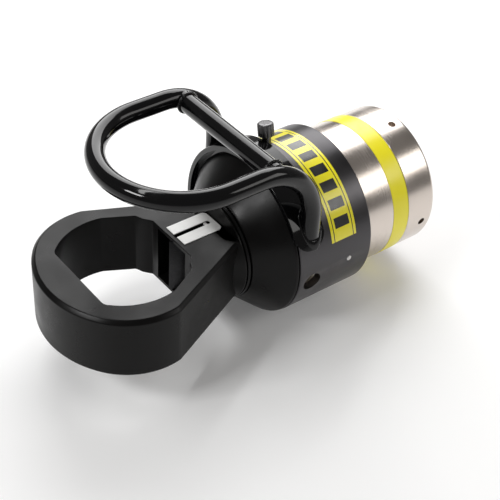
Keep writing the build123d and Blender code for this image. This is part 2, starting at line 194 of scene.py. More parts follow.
def rounded(corners, steps=5):
    """Corner points with each (x, y, radius) corner turned into a short arc."""
    points = []
    count = len(corners)
    for i, corner in enumerate(corners):
        here = Vector(corner[:2])
        if len(corner) < 3:
            points.append(tuple(here))
            continue
        before = (Vector(corners[i - 1][:2]) - here).normalized()
        after = (Vector(corners[(i + 1) % count][:2]) - here).normalized()
        half = before.angle(after) / 2
        centre = here + (before + after).normalized() * corner[2] / math.sin(half)
        start = here + before * corner[2] / math.tan(half) - centre
        end = here + after * corner[2] / math.tan(half) - centre
        sweep = start.angle_signed(end)
        for k in range(steps + 1):
            turn = Matrix.Rotation(-sweep * k / steps, 2)
            points.append(tuple(centre + turn @ start))
    return points


def cylinder(name, radius, low, high, segments=48):
    """Cylinder along Z between two heights, all in metres."""
    deselect_all()
    bpy.ops.mesh.primitive_cylinder_add(
        vertices=segments, radius=radius, depth=high - low, location=(0, 0, (high + low) / 2)
    )
    piece = bpy.context.active_object
    piece.name = name
    return piece


def block(name, low, high):
    """Box between two corners, in metres."""
    deselect_all()
    low, high = Vector(low), Vector(high)
    bpy.ops.mesh.primitive_cube_add(size=1, location=(low + high) / 2, scale=high - low)
    piece = bpy.context.active_object
    piece.name = name
    return apply_place(piece)


def apply_place(piece):
    activate(piece)
    bpy.ops.object.transform_apply(location=True, rotation=True, scale=True)
    return piece


def stand(piece, x, angle):
    """Turn a piece built along Z about the X axis to an angle from +Y towards +Z, at x metres."""
    apply_place(piece)
    piece.rotation_euler = (math.radians(angle - 90), 0, 0)
    piece.location = (x, 0, 0)
    return apply_place(piece)


def boolean(piece, tool, operation="DIFFERENCE"):
    """Cut, join or intersect with another piece, which is used up."""
    activate(piece)
    bpy.ops.object.modifier_add(type="BOOLEAN")
    step = piece.modifiers[-1]
    step.operation = operation
    step.solver = "EXACT"
    step.object = tool
    bpy.ops.object.modifier_apply(modifier=step.name)
    bpy.data.objects.remove(tool)
    return piece


def bevel(piece, width, segments=2, angle=30):
    """Round the sharp edges of a piece."""
    activate(piece)
    bpy.ops.object.modifier_add(type="BEVEL")
    step = piece.modifiers[-1]
    step.width = width
    step.segments = segments
    step.limit_method = "ANGLE"
    step.angle_limit = math.radians(angle)
    step.use_clamp_overlap = True
    step.miter_outer = "MITER_ARC"
    bpy.ops.object.modifier_apply(modifier=step.name)
    return piece


def smooth(piece, angle=32, weighted=True):
    """Smooth shading up to an angle, with normals that favour the large faces."""
    activate(piece)
    bpy.ops.object.shade_smooth_by_angle(angle=math.radians(angle))
    if weighted:
        bpy.ops.object.modifier_add(type="WEIGHTED_NORMAL")
        step = piece.modifiers[-1]
        step.keep_sharp = True
        bpy.ops.object.modifier_apply(modifier=step.name)
    return piece


def finish_piece(piece, body, slot, material, *replaced):
    """Give a finished piece its material and its body, and hide the CAD nodes it stands for; the slot is not used."""
    apply_place(piece)
    piece.data.materials.clear()
    piece.data.materials.append(material)
    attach(piece, body)
    if replaced:
        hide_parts(*replaced)
    return piece


# Materials

LABEL = {"radius": 82.5, "middle": 127.5, "block_pitch": 18.0, "block_half": 5.2}


class Shader:
    """A new node material with short ways to add and join nodes."""

    def __init__(self, name, colour, roughness, metallic=0.0):
        self.material = bpy.data.materials.new(name)
        self.material.use_nodes = True
        self.material.diffuse_color = (*colour, 1)
        self.tree = self.material.node_tree
        self.surface = self.tree.nodes["Principled BSDF"]
        self.surface.inputs["Base Color"].default_value = (*colour, 1)
        self.surface.inputs["Roughness"].default_value = roughness
        self.surface.inputs["Metallic"].default_value = metallic
        self.place = self.add("ShaderNodeTexCoord").outputs["Object"]

    def add(self, kind, **settings):
        node = self.tree.nodes.new(kind)
        for key, value in settings.items():
            setattr(node, key, value)
        return node

    def join(self, source, node, socket):
        self.tree.links.new(source, node.inputs[socket])

    def set(self, **values):
        """Even values on the shader's own sockets."""
        for key, value in values.items():
            self.surface.inputs[key.replace("_", " ")].default_value = value
        return self

    def stretched(self, scale):
        """Object coordinates scaled along each axis."""
        mapping = self.add("ShaderNodeMapping")
        mapping.inputs["Scale"].default_value = scale
        self.join(self.place, mapping, "Vector")
        return mapping.outputs["Vector"]

    def noise(self, scale, detail=3.0, roughness=0.5, vector=None):
        node = self.add("ShaderNodeTexNoise")
        node.inputs["Scale"].default_value = scale
        node.inputs["Detail"].default_value = detail
        node.inputs["Roughness"].default_value = roughness
        self.join(vector or self.place, node, "Vector")
        return node.outputs["Fac"]

    def spread(self, source, low, high, start=0.35, end=0.65):
        """Stretch the middle of a pattern over a range of values."""
        node = self.add("ShaderNodeMapRange")
        node.clamp = True
        node.inputs["From Min"].default_value = start
        node.inputs["From Max"].default_value = end
        node.inputs["To Min"].default_value = low
        node.inputs["To Max"].default_value = high
        self.join(source, node, "Value")
        return node.outputs["Result"]

    def math(self, operation, first, second=None):
        node = self.add("ShaderNodeMath", operation=operation)
        for i, value in enumerate((first, second)):
            if value is None:
                continue
            if isinstance(value, (int, float)):
                node.inputs[i].default_value = value
            else:
                self.tree.links.new(value, node.inputs[i])
        return node.outputs["Value"]

    def blend(self, factor, first, second):
        """Colour between two colours or sources."""
        node = self.add("ShaderNodeMix", data_type="RGBA")
        self.tree.links.new(factor, node.inputs["Factor"])
        for socket, value in ((6, first), (7, second)):
            if isinstance(value, tuple):
                node.inputs[socket].default_value = (*value, 1)
            else:
                self.tree.links.new(value, node.inputs[socket])
        return node.outputs[2]

    def colour(self, source):
        self.join(source, self.surface, "Base Color")

    def rough(self, source):
        self.join(source, self.surface, "Roughness")

    def bump(self, *heights):
        """Stack bumps, each a (height, strength, distance in metres)."""
        normal = None
        for height, strength, distance in heights:
            node = self.add("ShaderNodeBump")
            node.inputs["Strength"].default_value = strength
            node.inputs["Distance"].default_value = distance
            self.join(height, node, "Height")
            if normal:
                self.join(normal, node, "Normal")
            normal = node.outputs["Normal"]
        self.join(normal, self.surface, "Normal")
        return self

    def edges(self, low, high):
        """One on worn outer edges, nought elsewhere."""
        return self.spread(self.add("ShaderNodeNewGeometry").outputs["Pointiness"], 0, 1, low, high)

    def across(self):
        """The object's X, Y and Z as three sources."""
        node = self.add("ShaderNodeSeparateXYZ")
        self.join(self.place, node, "Vector")
        return node.outputs["X"], node.outputs["Y"], node.outputs["Z"]


def black_oxide():
    """Forged head: satin black, a little cloudy, with a fine grain and paler edges."""
    s = Shader("black_oxide_forging", (0.003, 0.0028, 0.0028), 0.3)
    s.set(Specular_IOR_Level=0.16)
    cloud = s.noise(38, 4)
    grain = s.noise(900, 3, 0.6)
    worn = s.math("MULTIPLY", s.edges(0.53, 0.6), s.spread(s.noise(60, 4), 0.1, 0.8))
    black = s.blend(cloud, (0.0022, 0.002, 0.002), (0.0045, 0.0042, 0.0042))
    s.colour(s.blend(worn, black, (0.02, 0.02, 0.021)))
    s.rough(s.spread(cloud, 0.27, 0.38))
    s.bump((grain, 0.12, 0.15 * MM), (s.noise(120, 2), 0.06, 0.6 * MM))
    return s.material


def gloss_enamel():
    """Handle: deep gloss black enamel with a faint orange peel and a few dull rubs."""
    s = Shader("gloss_black_enamel", (0.002, 0.002, 0.0022), 0.14)
    s.set(Coat_Weight=0.8, Coat_Roughness=0.04, Coat_IOR=1.32, Specular_IOR_Level=0.12)
    rub = s.noise(45, 4, 0.6)
    s.rough(s.spread(rub, 0.1, 0.26, 0.5, 0.72))
    s.colour(s.blend(s.noise(20, 2), (0.0015, 0.0015, 0.0018), (0.0035, 0.0035, 0.004)))
    s.bump((s.noise(210, 2), 0.035, 0.4 * MM))
    return s.material


def satin_collar():
    """Collar: dark warm grey anodised metal with faint turning marks."""
    s = Shader("dark_satin_collar", (0.07, 0.068, 0.07), 0.32, 1.0)
    rings = s.noise(1.0, 2, 0.5, s.stretched((2600, 6, 6)))
    cloud = s.noise(30, 4)
    worn = s.math("MULTIPLY", s.edges(0.53, 0.6), s.spread(s.noise(80, 4), 0.1, 0.7))
    s.colour(s.blend(worn, s.blend(cloud, (0.062, 0.06, 0.063), (0.078, 0.075, 0.078)), (0.16, 0.155, 0.155)))
    s.rough(s.spread(cloud, 0.28, 0.38))
    s.bump((rings, 0.1, 0.05 * MM))
    return s.material


def satin_nickel(name="satin_nickel_plate", roughness=0.24):
    """Cylinder: warm bright nickel with fine turning rings and soft handling marks."""
    s = Shader(name, (0.62, 0.555, 0.505), roughness, 1.0)
    rings = s.noise(1.0, 2, 0.5, s.stretched((3200, 4, 4)))
    cloud = s.noise(14, 4, 0.55)
    s.colour(s.blend(cloud, (0.58, 0.515, 0.465), (0.66, 0.60, 0.55)))
    s.rough(s.math("ADD", s.spread(cloud, roughness - 0.04, roughness + 0.06), s.spread(rings, -0.02, 0.03)))
    s.bump((rings, 0.16, 0.03 * MM))
    return s.material


def yellow_enamel():
    """Band: flat bright yellow enamel with a soft sheen."""
    s = Shader("yellow_enamel", (0.95, 0.84, 0.012), 0.36)
    s.set(Coat_Weight=0.25, Coat_Roughness=0.2)
    s.colour(s.blend(s.noise(26, 3), (0.93, 0.82, 0.010), (0.97, 0.87, 0.016)))
    s.rough(s.spread(s.noise(70, 3), 0.3, 0.42))
    s.bump((s.noise(160, 2), 0.05, 0.3 * MM))
    return s.material


def plain_metal(name, low, high, roughness, scale=260):
    """Small steel and bronze pieces: machined, with tonal change and fine marks."""
    s = Shader(name, high, roughness, 1.0)
    s.colour(s.blend(s.noise(scale / 5, 3), low, high))
    s.rough(s.spread(s.noise(scale, 3), roughness - 0.06, roughness + 0.08))
    s.bump((s.noise(scale * 4, 2), 0.12, 0.05 * MM))
    return s.material


def ground_blade():
    """Tool steel ground across its height, with fine grinding lines and a light edge."""
    s = Shader("ground_tool_steel", (0.055, 0.055, 0.058), 0.36, 1.0)
    lines = s.noise(1.0, 3, 0.6, s.stretched((90, 90, 5200)))
    s.colour(s.blend(s.noise(60, 3), (0.045, 0.045, 0.047), (0.075, 0.075, 0.078)))
    s.rough(s.spread(lines, 0.26, 0.44))
    s.bump((lines, 0.3, 0.05 * MM))
    return s.material


def plain_coat(name, low, high, roughness, metallic=0.0, scale=300):
    """Small painted, plastic and rubber pieces, with tonal change and a fine skin."""
    s = Shader(name, high, roughness, metallic)
    s.colour(s.blend(s.noise(scale / 4, 3), low, high))
    s.rough(s.spread(s.noise(scale, 3), roughness - 0.06, roughness + 0.08))
    s.bump((s.noise(scale * 3, 2), 0.15, 0.08 * MM))
    return s.material


def label_strip():
    """Yellow strip with a thin dark border line and a row of plain upright blocks."""
    s = Shader("yellow_label", (0.93, 0.80, 0.012), 0.34)
    s.set(Coat_Weight=0.5, Coat_Roughness=0.12)
    x, y, z = s.across()
    from_top = s.math("MULTIPLY", s.math("SUBTRACT", s.math("ARCTAN2", z, y), math.pi / 2), LABEL["radius"])
    off_middle = s.math("ABSOLUTE", s.math("ADD", s.math("MULTIPLY", x, 1000.0), LABEL["middle"]))
    pitch = LABEL["block_pitch"]
    cycle = s.math("MODULO", s.math("ADD", from_top, 22.5 * pitch), pitch)
    bar = s.math("LESS_THAN", s.math("ABSOLUTE", s.math("SUBTRACT", cycle, pitch / 2)), LABEL["block_half"])
    bar = s.math("MULTIPLY", bar, s.math("LESS_THAN", off_middle, 8.6))
    bar = s.math("MULTIPLY", bar, s.math("LESS_THAN", s.math("ABSOLUTE", from_top), 5.5 * pitch))
    line = s.math("MULTIPLY", s.math("GREATER_THAN", off_middle, 11.0), s.math("LESS_THAN", off_middle, 12.0))
    dark = s.math("MAXIMUM", bar, line)
    yellow = s.blend(s.noise(26, 3), (0.93, 0.82, 0.010), (0.97, 0.87, 0.016))
    s.colour(s.blend(dark, yellow, (0.012, 0.012, 0.012)))
    s.rough(s.spread(s.noise(70, 3), 0.26, 0.4))
    return s.material


def studio_floor():
    """Plain pale floor that keeps soft shadows."""
    s = Shader("pale_floor", (0.93, 0.93, 0.93), 0.85)
    s.set(Specular_IOR_Level=0.1, Emission_Color=(1, 1, 1, 1), Emission_Strength=0.1)
    return s.material


MATERIALS = {
    "black_steel": black_oxide(),
    "gloss_black": gloss_enamel(),
    "dark_collar": satin_collar(),
    "nickel": satin_nickel(),
    "yellow": yellow_enamel(),
    "white_plate": plain_coat("white_enamel", (0.72, 0.72, 0.70), (0.86, 0.86, 0.85), 0.4),
    "tool_steel": ground_blade(),
    "knob_steel": plain_metal("dark_knob_steel", (0.10, 0.10, 0.105), (0.19, 0.185, 0.185), 0.3),
    "bright_steel": plain_metal("bright_steel", (0.46, 0.45, 0.44), (0.62, 0.61, 0.60), 0.28),
    "black_fastener": plain_coat("black_oxide_screw", (0.012, 0.012, 0.013), (0.025, 0.025, 0.026), 0.42, 0.4),
    "bronze": plain_metal("machined_bronze", (0.42, 0.26, 0.11), (0.60, 0.40, 0.19), 0.3),
    "nylon": plain_coat("natural_nylon", (0.62, 0.58, 0.48), (0.74, 0.71, 0.61), 0.5),
    "seal_rubber": plain_coat("nitrile_rubber", (0.012, 0.012, 0.012), (0.026, 0.026, 0.026), 0.62),
    "spring_steel": plain_metal("oiled_spring_steel", (0.13, 0.12, 0.12), (0.24, 0.23, 0.23), 0.34),
}


# Sizes and colours that a user would change

def length(name, description, default):
    return bpy.props.FloatProperty(name=name, description=description, default=default * MM, unit="LENGTH")


class HeadSizes(bpy.types.PropertyGroup):
    """Sizes of the forged head."""
    half_thickness: length("Half thickness", "From the head's middle to its flat top", 33.0)
    chamfer: length("Rim chamfer", "Width of the chamfer round the head", 5.0)
    opening_radius: length("Opening radius", "Radius of the nut opening's round sides", 63.0)
    edge_round: length("Edge round", "Width of the small rounds on the head's edges", 0.9)


class BodySizes(bpy.types.PropertyGroup):
    """Sizes of the cylinder, its cap and its swivel collar."""
    barrel_radius: length("Barrel radius", "Outside of the cylinder", 73.0)
    collar_radius: length("Collar radius", "Outside of the swivel collar", 82.5)
    saddle_radius: length("Saddle radius", "Outside of the arched pad under the handle", 91.2)
    cap_round: length("Cap round", "Radius of the end cap's rear rim", 4.0)
    thread_pitch: length("Port pitch", "Pitch of the oil port's thread", 1.41)
    spring_wire: length("Spring wire", "Radius of the return spring's wire", 4.0)


class HandleSizes(bpy.types.PropertyGroup):
    """Sizes of the bent loop handle."""
    bar_radius: length("Bar radius", "Radius of the bent round bar", 9.5)
    weld_radius: length("Weld radius", "Thickness of the weld beads", 1.7)


class StudioLook(bpy.types.PropertyGroup):
    """Light and floor of the studio."""
    floor_drop: length("Floor drop", "Height of the floor under the cylinder's axis", -82.6)
    world_colour: bpy.props.FloatVectorProperty(
        name="Surroundings", description="Colour of the light from all sides", size=3,
        default=(0.9, 0.88, 0.86), subtype="COLOR", min=0, max=1,
    )
    world_strength: bpy.props.FloatProperty(
        name="Surroundings strength", description="Strength of the light from all sides", default=0.2, min=0
    )


# Stations along the axis, in millimetres forward of the rear face
NECK_FRONT = 222.5
NOSE = 405.0
NOSE_RADIUS = 96.0
NOSE_HALF_ANGLE = math.radians(38)
FLANK_CORNER = (318.0, 84.3)
TAIL_HALF = 40.17
BAY_CENTRE = 324.5
ANVIL = 371.5
ANVIL_ROUND = 8.0
BAY_SIDE = (309.5, 61.19)
BAY_REAR = ((281.0, 46.5), (278.0, 39.0), (271.5, 31.0))
BLADE_REAR = 228.0
HANDLE = {"leg": 168.5, "bend": 232.0, "front": 338.0, "height": 128.5, "half": 74.5, "foot": 42.0, "crossbar": 210.0}
ACCESS_HOLES = ((165.0, 189.5, 10.0), (164.0, -13.0, 7.5))
KNOB = (149.5, 78.0)
NIPPLE = (120.5, 183.0)
SPRING = {"front": 157.0, "rear": 80.0, "mean_radius": 40.0, "turns": 4}


def at(station, y=0.0, z=0.0):
    """Point in metres from a station forward of the rear face and millimetres across and up."""
    return Vector((-station * MM, y * MM, z * MM))


def lift(pen, height):
    """Close the outline and raise it into a solid."""
    pen.close()
    bpy.ops.mesh.extrude_region_move(TRANSFORM_OT_translate={"value": (0, 0, height)})
    pen.done()
    return mend(pen.piece)


def head_plate(sizes):
    """Flat body of the head with its chamfered rim."""
    half = sizes.half_thickness / MM
    side_centre = at(330.597, 16.873)
    low = at(0, 0, -half)
    side_sweep = math.radians(62.55)
    pen = Pen("plate", at(*FLANK_CORNER) + low)
    pen.arc(side_centre + low, (0, 0, 1), side_sweep, 20)
    pen.arc(at(NOSE - NOSE_RADIUS) + low, (0, 0, 1), 2 * NOSE_HALF_ANGLE, 36)
    pen.arc(Vector((side_centre.x, -side_centre.y, 0)) + low, (0, 0, 1), side_sweep, 20)
    pen.line(at(NECK_FRONT, -TAIL_HALF) + low, at(186, -TAIL_HALF) + low)
    pen.line(at(186, TAIL_HALF) + low, at(NECK_FRONT, TAIL_HALF) + low)
    plate = lift(pen, 2 * sizes.half_thickness)
    edit(plate)
    flat_height = sizes.half_thickness - 0.1 * MM
    pick(plate, "EDGE", lambda e, m: min(abs(v.co.z) for v in e.verts) > flat_height and abs(m.z) > flat_height)
    bpy.ops.mesh.bevel(offset=sizes.chamfer, offset_type="WIDTH", segments=1, affect="EDGES")
    leave_edit()
    return plate


def bay_cutter(sizes):
    """Shape of the nut opening, taller than the head."""
    low = at(0, 0, -60)
    centre = at(BAY_CENTRE) + low
    radius = sizes.opening_radius / MM
    corner_y = math.sqrt((radius - ANVIL_ROUND) ** 2 - (ANVIL - ANVIL_ROUND - BAY_CENTRE) ** 2)
    corner_sweep = math.atan2(corner_y, ANVIL - ANVIL_ROUND - BAY_CENTRE)
    side_angle = math.atan2(BAY_SIDE[1], BAY_CENTRE - BAY_SIDE[0])
    bay_sweep = math.pi - corner_sweep - side_angle
    down = (0, 0, -1)
    pen = Pen("bay", at(ANVIL, corner_y) + low)
    pen.arc(at(ANVIL - ANVIL_ROUND, corner_y) + low, down, corner_sweep, 8)
    pen.arc(centre, down, bay_sweep, 24)
    pen.line(*[at(s, y) + low for s, y in BAY_REAR])
    pen.line(*[at(s, -y) + low for s, y in reversed(BAY_REAR)])
    pen.line(at(BAY_SIDE[0], -BAY_SIDE[1]) + low)
    pen.arc(centre, down, bay_sweep, 24)
    pen.arc(at(ANVIL - ANVIL_ROUND, -corner_y) + low, down, corner_sweep, 8)
    return lift(pen, 120 * MM)


def build_head(sizes):
    """The forging: nut ring, flanks, waisted neck, flared shoulder, blade pocket and pointer slot."""
    head = boolean(head_plate(sizes), bay_cutter(sizes))
    bevel(head, sizes.edge_round, 2, 20)
    neck = spun(
        "neck",
        [
            (-232.5, 20), (-232.5, 44), (-NECK_FRONT, 52, 0.8), (-217, 52, 12), (-184.5, 82, 4), (-182.2, 82, 0.8),
            (-182.2, 71), (-181, 71), (-181, 62), (-157, 62), (-157, 20),
        ],
    )
    for low, high in ((sizes.half_thickness, 80 * MM), (-80 * MM, -sizes.half_thickness)):
        boolean(neck, block("flat", (-0.26, -0.08, low), (-NECK_FRONT * MM, 0.08, high)))
    for station in (220.5, 216.5):
        boolean(neck, spun("groove", [(-station - 0.9, 50.4), (-station - 0.9, 60), (-station + 0.9, 60), (-station + 0.9, 50.4)]))
    boolean(head, neck, "UNION")
    bore = cylinder("bore", 25.6 * MM, -261 * MM, -150 * MM, 64)
    bore.rotation_euler = (0, math.radians(90), 0)
    boolean(head, apply_place(bore))
    boolean(head, block("pocket", at(276.5, -22.3, -29.3), at(227.7, 22.3, 29.3)))
    pen = Pen("slot", at(268.2, -2.5, 20))
    pen.line(at(230.7, -2.5, 20))
    pen.arc(at(230.7, 0, 20), (0, 0, 1), math.pi, 12)
    pen.line(at(268.2, 2.5, 20))
    boolean(head, lift(pen, 30 * MM))
    return smooth(mend(head), 28)


def sector(name, low_station, high_station, inner, outer, start, end, steps):
    """Part of a ring about the X axis between two angles from +Y towards +Z, in degrees."""
    angle = math.radians(start)

    def spot(station, radius):
        return at(station, radius * math.cos(angle), radius * math.sin(angle))

    pen = Pen(name, spot(low_station, inner))
    pen.line(spot(high_station, inner), spot(high_station, outer), spot(low_station, outer), spot(low_station, inner))
    pen.close()
    sweep = math.radians(end - start)
    spin((0, 0, 0), (1, 0, 0), sweep, steps)
    pen.done()
    return mend(pen.piece)


def build_collar(sizes):
    """Swivel collar with its access holes and seats."""
    radius = sizes.collar_radius / MM
    collar = spun("collar", [(-181, 75), (-181, radius, 1.3), (-93, radius, 1.6), (-93, 75)], 192)
    for station, angle, hole_radius in ACCESS_HOLES:
        hole = cylinder("hole", hole_radius * MM, 70 * MM, 90 * MM, 64)
        boolean(collar, stand(hole, -station * MM, angle))
    for (station, angle), hole_radius in ((KNOB, 4.0), (NIPPLE, 3.3)):
        hole = cylinder("hole", hole_radius * MM, 70 * MM, 90 * MM, 32)
        boolean(collar, stand(hole, -station * MM, angle))
    return smooth(collar, 30)


def saddle_end(bottom, corner, reach):
    """Prism with two rounded lower corners that trims one end of the saddle, as seen from the side."""
    front, rear = 189.2, 154.5
    pen = Pen("end", at(front, 0, 110))
    pen.line(at(front, 0, bottom + corner))
    pen.arc(at(front - corner, 0, bottom + corner), (0, -1, 0), math.pi / 2, 16)
    pen.line(at(rear + corner, 0, bottom))
    pen.arc(at(rear + corner, 0, bottom + corner), (0, -1, 0), math.pi / 2, 16)
    pen.line(at(rear, 0, 110))
    pen.close()
    bpy.ops.mesh.extrude_region_move(TRANSFORM_OT_translate={"value": (0, reach * MM, 0)})
    pen.done()
    return mend(pen.piece)


def build_saddle(sizes):
    """Arched pad under the legs, lower on the far side, with a thin lip over the shoulder."""
    outer = sizes.saddle_radius / MM
    saddle = spun(
        "saddle",
        [(-189.2, 86.3), (-189.2, outer, 0.8), (-154.5, outer, 0.8), (-154.5, 82.4), (-180.9, 82.4), (-180.9, 86.3)],
        192,
    )
    ends = boolean(saddle_end(31, 17.3, -100), saddle_end(-10.5, 6.9, 100), "UNION")
    boolean(saddle, ends, "INTERSECT")
    for angle in (150, 30):
        hole = cylinder("hole", 2.05 * MM, 78 * MM, 95 * MM, 24)
        boolean(saddle, stand(hole, -157.2 * MM, angle))
    bevel(saddle, 0.5 * MM, 2, 40)
    return smooth(saddle, 30)


def build_loop(sizes):
    """Bent bar: a leg, a bend, a run and half the loop, then the same back to the other foot."""
    bend = HANDLE["bend"] - HANDLE["leg"]
    leg_top = HANDLE["height"] - bend
    half = HANDLE["half"]
    run_end = HANDLE["front"] - half
    deselect_all()
    bpy.ops.mesh.primitive_circle_add(
        vertices=48, radius=sizes.bar_radius, fill_type="NGON", location=at(HANDLE["leg"], -half, HANDLE["foot"])
    )
    loop = bpy.context.active_object
    loop.name = "loop"
    apply_place(loop)
    edit(loop)
    bpy.ops.mesh.select_all(action="SELECT")

    def extrude(vector):
        bpy.ops.mesh.extrude_region_move(TRANSFORM_OT_translate={"value": vector})

    rise = at(0, 0, leg_top - HANDLE["foot"])
    run = at(run_end - HANDLE["bend"])
    extrude(rise)
    spin(at(HANDLE["bend"], -half, leg_top), (0, -1, 0), math.pi / 2, 24)
    extrude(run)
    spin(at(run_end, 0, HANDLE["height"]), (0, 0, -1), math.pi, 56)
    extrude(-run)
    spin(at(HANDLE["bend"], half, leg_top), (0, 1, 0), math.pi / 2, 24)
    extrude(-rise)
    leave_edit()
    return smooth(mend(loop), 40, False)


def bead(name, ring_radius, sizes):
    """Weld bead: a ring with an uneven surface, flat round the Z axis."""
    deselect_all()
    bpy.ops.mesh.primitive_torus_add(
        major_segments=96, minor_segments=14, major_radius=ring_radius, minor_radius=sizes.weld_radius
    )
    piece = bpy.context.active_object
    piece.name = name
    for v in piece.data.vertices:
        ripple = math.sin(34 * math.atan2(v.co.y, v.co.x))
        v.co.z *= 1 + 0.16 * ripple
        v.co.xy *= 1 + 0.01 * ripple
    return piece


def build_crossbar(sizes):
    """Round bar between the two sides, with a weld bead at each end."""
    bend = HANDLE["bend"] - HANDLE["leg"]
    drop = bend - math.sqrt(bend**2 - (HANDLE["bend"] - HANDLE["crossbar"]) ** 2)
    height = (HANDLE["height"] - drop) * MM
    half = (HANDLE["half"] - 4) * MM
    bar = cylinder("crossbar", sizes.bar_radius, -half, half, 48)
    beads = []
    for side in (-1, 1):
        ring = bead("bead", sizes.bar_radius + 0.2 * MM, sizes)
        ring.location.z = side * (HANDLE["half"] * MM - sizes.bar_radius - 0.4 * MM)
        beads.append(apply_place(ring))
    activate(bar)
    for ring in beads:
        ring.select_set(True)
    bpy.ops.object.join()
    bar.rotation_euler = (math.radians(90), 0, 0)
    bar.location = (-HANDLE["crossbar"] * MM, 0, height)
    return smooth(apply_place(bar), 40, False)


def build_foot_welds(sizes, saddle_radius):
    """Weld beads where the two legs meet the saddle."""
    welds = []
    for side in (-1, 1):
        ring = bead("weld", sizes.bar_radius + 0.4 * MM, sizes)
        ring.location = at(HANDLE["leg"], side * HANDLE["half"], 0)
        apply_place(ring)
        for v in ring.data.vertices:
            v.co.z += math.sqrt(saddle_radius**2 - v.co.y**2)
        welds.append(ring)
    activate(welds[0])
    welds[1].select_set(True)
    bpy.ops.object.join()
    return smooth(welds[0], 60, False)


def build_barrel(sizes):
    """Cylinder tube with the seats of its band and retaining ring."""
    r = sizes.barrel_radius / MM
    barrel = spun(
        "barrel",
        [
            (-180.8, 62), (-180.8, r, 0.8), (-92.6, r, 0.3), (-92.6, r - 2), (-90, r - 2), (-90, r, 0.3), (-55.4, r, 0.3),
            (-55.4, r - 0.6), (-35.2, r - 0.6), (-35.2, 62),
        ],
        192,
    )
    return smooth(barrel, 30)


def build_band(sizes):
    """Yellow ring at the barrel's rear end."""
    r = sizes.barrel_radius / MM
    return smooth(spun("band", [(-55.3, r - 0.7), (-55.3, r + 0.3, 0.28), (-35.6, r + 0.3, 0.28), (-35.6, r - 0.7)], 192), 40)


def build_retainer(sizes):
    """Snap ring behind the collar."""
    r = sizes.barrel_radius / MM
    return smooth(spun("retainer", [(-92.5, r - 2), (-92.5, r + 3.5, 0.5), (-90.1, r + 3.5, 0.5), (-90.1, r - 2)], 160), 40)


def build_cap(sizes):
    """Rear cap with a rounded rim, spanner holes and the threaded oil port."""
    r = sizes.barrel_radius / MM
    pitch = sizes.thread_pitch / MM
    teeth = []
    for k in range(9):
        x = -2.2 - k * pitch
        teeth += [(x, 8.6), (x - pitch / 2, 7.75)]
    profile = [(-34.9, 40), (-34.9, r, 0.5), (0, r, sizes.cap_round / MM), (0, 61, 0.5), (-1, 60.5), (-1, 18.1), (0, 17.6, 0.5)]
    profile += [(0, 9.6), (-1, 8.6), *teeth, (-16, 8.6), (-16, 3), (-30, 3), (-30, 40)]
    cap = spun("cap", profile, 192)
    for angle in range(10, 360, 90):
        hole = cylinder("hole", 4 * MM, (r - 9) * MM, (r + 3) * MM, 48)
        boolean(cap, stand(hole, -14 * MM, angle))
    screw_hole = cylinder("hole", 3.05 * MM, (r - 12) * MM, (r + 3) * MM, 24)
    boolean(cap, stand(screw_hole, -28 * MM, 325))
    return smooth(cap, 24)


def flute_angle(point):
    """Degrees round the Z axis from a point to the middle of the nearest of twelve flutes."""
    return abs((math.degrees(math.atan2(point.y, point.x)) + 15) % 30 - 15)


def build_knob(sizes):
    """Fluted thumb knob on its screw."""
    knob = cylinder("knob", 8 * MM, 93.7 * MM, 105 * MM, 144)
    edit(knob)
    for side, steps in ((1, ((0.5, 0.7), (0.6, 0.45), (0.8, 0.25), (1.6, 0.1))), (-1, ((0.6, 0.5), (0.8, 0.2)))):
        bpy.ops.mesh.select_all(action="DESELECT")
        pick(knob, "FACE", lambda f, m: f.normal.z * side > 0.9)
        for inset, rise in steps:
            bpy.ops.mesh.inset(thickness=inset * MM, depth=rise * MM)
    for reach, narrowing in ((6.1, 0.97), (4.6, 0.965), (2.6, 0.97)):
        bpy.ops.mesh.select_all(action="DESELECT")
        pick(knob, "VERT", lambda v, m: m.xy.length > 7.3 * MM and flute_angle(m) < reach)
        bpy.ops.transform.resize(value=(narrowing, narrowing, 1), center_override=(0, 0, 0))
    leave_edit()
    neck = cylinder("neck", 4.4 * MM, 84 * MM, 93.6 * MM, 48)
    screw = cylinder("screw", 3.9 * MM, 75.8 * MM, 84.6 * MM, 48)
    activate(knob)
    neck.select_set(True)
    screw.select_set(True)
    bpy.ops.object.join()
    stand(knob, -KNOB[0] * MM, KNOB[1])
    return smooth(knob, 40)


def build_spring(sizes):
    """Open return coil: a round wire carried along a screw line about the X axis."""
    wire = sizes.spring_wire / MM
    front = SPRING["front"] - wire
    length = front - SPRING["rear"] - wire
    deselect_all()
    bpy.ops.mesh.primitive_circle_add(
        vertices=24, radius=wire * MM, location=at(front, 0, -SPRING["mean_radius"]), rotation=(math.pi / 2, 0, 0)
    )
    coil = bpy.context.active_object
    coil.name = "spring"
    apply_place(coil)
    bpy.ops.object.modifier_add(type="SCREW")
    step = coil.modifiers[-1]
    step.axis = "X"
    step.angle = TURN
    step.screw_offset = length / SPRING["turns"] * MM
    step.iterations = SPRING["turns"]
    step.steps = step.render_steps = 64
    step.use_merge_vertices = True
    bpy.ops.object.modifier_apply(modifier=step.name)
    edit(coil)
    bpy.ops.mesh.select_all(action="SELECT")
    bpy.ops.mesh.fill_holes(sides=24)
    leave_edit()
    return smooth(mend(coil), 50, False)


def build_nipple(sizes):
    """Small domed grease nipple."""
    nipple = cylinder("nipple", 2.95 * MM, 78.4 * MM, sizes.collar_radius + 0.4 * MM, 32)
    edit(nipple)
    pick(nipple, "FACE", lambda f, m: f.normal.z > 0.9)
    bpy.ops.mesh.bevel(offset=0.8 * MM, segments=4, affect="EDGES")
    leave_edit()
    stand(nipple, -NIPPLE[0] * MM, NIPPLE[1])
    return smooth(nipple, 50)


